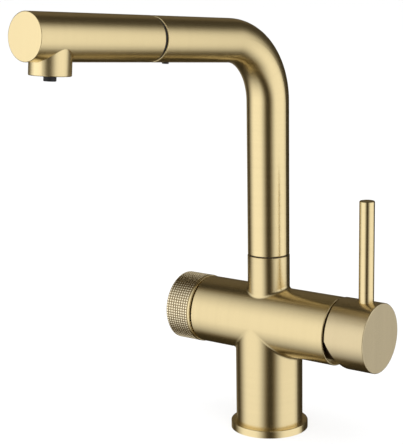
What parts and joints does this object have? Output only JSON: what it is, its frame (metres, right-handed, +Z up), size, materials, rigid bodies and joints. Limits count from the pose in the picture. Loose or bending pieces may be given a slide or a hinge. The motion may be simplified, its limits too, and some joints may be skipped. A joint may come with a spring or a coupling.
{
  "type": "three way filtered water tap",
  "caption": "Single hole kitchen tap with a side mixer lever, a knurled filtered water knob and a swivelling spout whose handset pulls out and has a separate filtered water outlet.",
  "frame": {"origin": "centre of the base ring's underside, on the deck", "axes": "+Z up along the column, +X along the cross tube towards the lever; the arm points along -Y, turned 5.5 degrees towards -X"},
  "size_m": [0.1532, 0.2311, 0.2897],
  "materials": {
    "brushed_gold": "brushed and clear coated",
    "machined_brass": "machined",
    "steel": "machined",
    "seal_rubber": "smooth",
    "black_plastic": "moulded",
    "ceramic": "lapped",
    "white_plastic": "moulded",
    "hose_sheath": "braided"
  },
  "bodies": {
    "base": {"base_flange": "brushed_gold", "base_gasket": "seal_rubber", "tap_body": "brushed_gold", "inlet_block": "machined_brass", "swivel_washer": "black_plastic", "swivel_screw": "steel", "cartridge_seal_disc": "seal_rubber", "cartridge_base_plate": "black_plastic", "cartridge_housing": "black_plastic", "cartridge_fixed_disc": "ceramic", "cartridge_nut": "machined_brass", "filter_valve_seal": "seal_rubber", "filter_valve_body": "machined_brass", "filter_fixed_disc": "ceramic", "spindle_bush": "machined_brass"},
    "spout": {"spout_tube": "brushed_gold", "swivel_insert": "machined_brass", "swivel_o_rings": "seal_rubber", "docking_sleeve": "black_plastic", "hose_union": "machined_brass", "pull_out_hose": "hose_sheath", "filter_hose": "white_plastic"},
    "release": {"snap_button": "black_plastic"},
    "handset": {"handset_shell": "brushed_gold", "handset_spigot": "black_plastic", "hose_ferrule": "machined_brass", "hose_seal": "seal_rubber", "mixed_waterway": "white_plastic", "filter_waterway": "white_plastic", "aerator_housing": "black_plastic", "aerator_o_ring": "seal_rubber", "aerator_plate": "white_plastic", "filter_outlet_tip": "black_plastic"},
    "lever_turner": {"cartridge_rotor": "black_plastic", "stem_pin": "steel"},
    "lever": {"cartridge_stem": "steel", "lever_cap": "brushed_gold", "lever_rod": "brushed_gold", "lever_screw": "steel"},
    "mixing_disc": {"disc_carrier": "black_plastic", "moving_disc": "ceramic"},
    "filter_control": {"filter_moving_disc": "ceramic", "filter_spindle": "machined_brass", "spindle_o_ring": "seal_rubber", "filter_knob": "brushed_gold", "knob_screw": "steel", "knob_end_cap": "brushed_gold"}
  },
  "joints": [
    {"name": "spout_swivel", "type": "hinge", "parent": "base", "child": "spout", "pos_m": [0, 0, 0.119], "axis": [0, 0, 1], "range_deg": [-84.5, 95.5]},
    {"name": "handset_pull", "type": "slide", "parent": "spout", "child": "handset", "axis": [-0.0955, -0.9916, 0.0872], "range_m": [0, 0.4], "deforming": ["pull_out_hose", "filter_hose"]},
    {"name": "button_press", "type": "slide", "parent": "spout", "child": "release", "axis": [0.0084, 0.0868, 0.9962], "range_m": [0, 0.0012], "stiffness_N_per_m": 500, "springref_m": -0.001},
    {"name": "lever_turn", "type": "hinge", "parent": "base", "child": "lever_turner", "pos_m": [0.047, 0, 0.0746], "axis": [1, 0, 0], "range_deg": [-45, 45]},
    {"name": "lever_lift", "type": "hinge", "parent": "lever_turner", "child": "lever", "pos_m": [0.047, 0, 0.0746], "axis": [0, 1, 0], "range_deg": [0, 22]},
    {"name": "disc_shift", "type": "slide", "parent": "lever_turner", "child": "mixing_disc", "axis": [0, 0, 1], "range_m": [0, 0.0044]},
    {"name": "filter_turn", "type": "hinge", "parent": "base", "child": "filter_control", "pos_m": [-0.045, 0, 0.0746], "axis": [-1, 0, 0], "range_deg": [0, 90]}
  ],
  "couplings": [
    {"joint": "disc_shift", "follows": "lever_lift", "m_per_rad": 0.0113}
  ]
}
